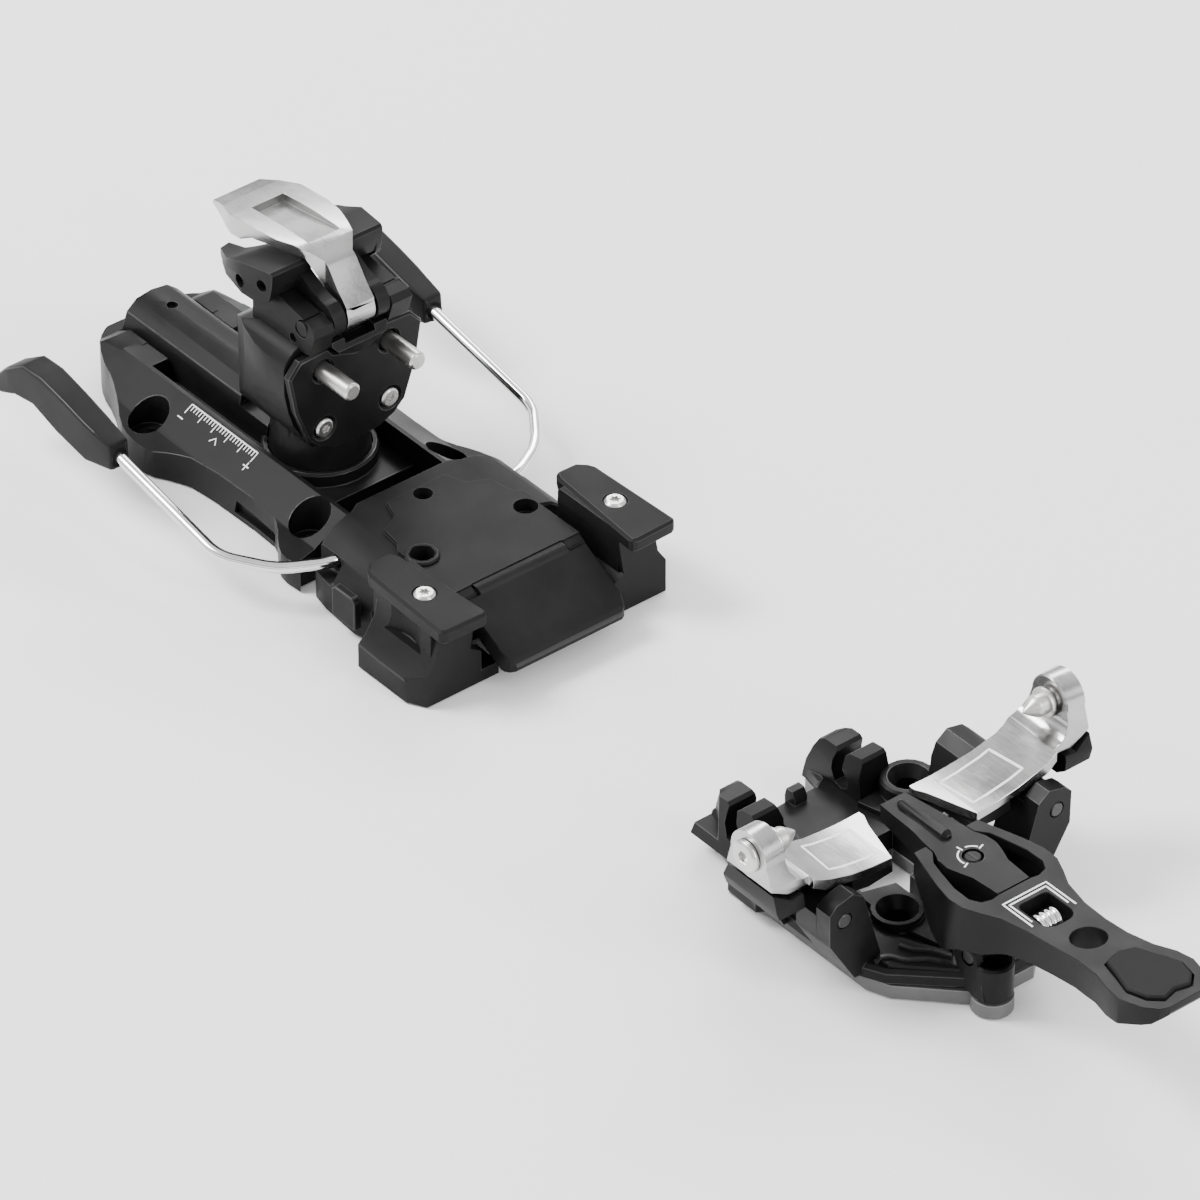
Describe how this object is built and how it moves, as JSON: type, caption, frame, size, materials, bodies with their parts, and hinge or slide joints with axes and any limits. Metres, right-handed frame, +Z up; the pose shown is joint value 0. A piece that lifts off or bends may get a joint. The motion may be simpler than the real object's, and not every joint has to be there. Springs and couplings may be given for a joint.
{
  "type": "touring ski binding",
  "caption": "Pin touring ski binding: toe unit with two pin jaws and a lever, turning heel turret with pins and flip risers, ski brake.",
  "frame": {"origin": "centre of the bounding box in plan, on the ski's top face", "axes": "+X to the ski tip, +Y to the skier's left, +Z up from the ski"},
  "size_m": [0.412, 0.1112, 0.0796],
  "materials": {
    "black_alloy": "satin black anodised",
    "black_plastic": "matte black",
    "silver_alloy": "satin bright",
    "steel": "brushed",
    "polished_steel": "polished",
    "grey_plastic": "matte grey",
    "rubber": "matte"
  },
  "bodies": {
    "mounting_base": {"toe_shim": "grey_plastic", "toe_base": "black_alloy", "jaw_pivot_pin_left": "steel", "jaw_pivot_pin_right": "steel", "jaw_spring_left": "steel", "jaw_spring_right": "steel", "lever_hinge_pin": "steel", "heel_base": "black_alloy", "brake_plate": "black_plastic", "pedal_pin": "steel", "side_block_left": "black_plastic", "side_block_right": "black_plastic", "block_screw_left": "steel", "block_screw_right": "steel", "brake_spring": "steel"},
    "lever_assembly": {"toe_lever": "black_alloy", "lever_tongue": "black_alloy", "catch_spring": "polished_steel", "thumb_pad": "rubber"},
    "dial": {"stiffness_dial": "black_plastic"},
    "left_jaw": {"jaw_left": "black_alloy", "jaw_plate_left": "silver_alloy", "toe_pin_left": "steel"},
    "right_jaw": {"jaw_right": "black_alloy", "jaw_plate_right": "silver_alloy", "toe_pin_right": "steel"},
    "heel_carriage": {"carriage": "black_alloy", "barrel_cap": "steel", "lateral_spring": "steel", "turret_post": "steel"},
    "screw": {"adjuster_screw": "steel"},
    "turret": {"turret_housing": "black_alloy", "face_plate": "black_alloy", "face_screw_left": "steel", "face_screw_right": "steel", "release_cap": "black_alloy", "release_spring": "steel", "heel_pin_left": "steel", "heel_pin_right": "steel"},
    "low_riser": {"lower_flap": "black_alloy"},
    "high_riser": {"upper_flap": "silver_alloy"},
    "brake": {"brake_arm_left": "polished_steel", "brake_arm_right": "polished_steel", "brake_tip_left": "black_plastic", "brake_tip_right": "black_plastic", "brake_axle": "steel"},
    "pedal": {"brake_pedal": "black_plastic"},
    "lock_tab": {"brake_lock_tab": "black_plastic"}
  },
  "joints": [
    {"name": "toe_lever", "type": "hinge", "parent": "mounting_base", "child": "lever_assembly", "pos_m": [0.142, 0, 0.015], "axis": [0, 1, 0], "range_deg": [-14, 0]},
    {"name": "left_jaw_swing", "type": "hinge", "parent": "mounting_base", "child": "left_jaw", "pos_m": [0.1065, 0.034, 0.0255], "axis": [1, 0, 0], "range_deg": [0, 19]},
    {"name": "right_jaw_swing", "type": "hinge", "parent": "mounting_base", "child": "right_jaw", "pos_m": [0.1065, -0.034, 0.0255], "axis": [1, 0, 0], "range_deg": [-19, 0]},
    {"name": "stiffness_dial", "type": "hinge", "parent": "lever_assembly", "child": "dial", "pos_m": [0.13, 0, 0.0308], "axis": [0, 0, 1], "range_deg": [-60, 60]},
    {"name": "heel_position", "type": "slide", "parent": "mounting_base", "child": "heel_carriage", "axis": [1, 0, 0], "range_m": [0, 0.012]},
    {"name": "adjuster_turn", "type": "hinge", "parent": "mounting_base", "child": "screw", "pos_m": [-0.126, 0, 0.0063], "axis": [1, 0, 0], "continuous": true},
    {"name": "turret_turn", "type": "hinge", "parent": "heel_carriage", "child": "turret", "pos_m": [-0.126, 0, 0.0088], "axis": [0, 0, 1], "range_deg": [-90, 90]},
    {"name": "low_riser_flip", "type": "hinge", "parent": "turret", "child": "low_riser", "pos_m": [-0.112, 0, 0.063], "axis": [0, 1, 0], "range_deg": [0, 143]},
    {"name": "high_riser_flip", "type": "hinge", "parent": "low_riser", "child": "high_riser", "pos_m": [-0.112, 0, 0.063], "axis": [0, -1, 0], "range_deg": [-143, 0]},
    {"name": "brake_swing", "type": "hinge", "parent": "mounting_base", "child": "brake", "pos_m": [-0.082, 0, 0.013], "axis": [0, 1, 0], "range_deg": [-33, 0]},
    {"name": "pedal_swing", "type": "hinge", "parent": "mounting_base", "child": "pedal", "pos_m": [-0.0438, 0, 0.0172], "axis": [0, 1, 0], "range_deg": [-26, 0]},
    {"name": "brake_lock", "type": "slide", "parent": "mounting_base", "child": "lock_tab", "axis": [-1, 0, 0], "range_m": [0, 0.004]}
  ],
  "couplings": [
    {"joint": "left_jaw_swing", "follows": "toe_lever", "ratio": -1.35},
    {"joint": "right_jaw_swing", "follows": "toe_lever", "ratio": 1.35},
    {"joint": "pedal_swing", "follows": "brake_swing", "ratio": 0.75}
  ]
}
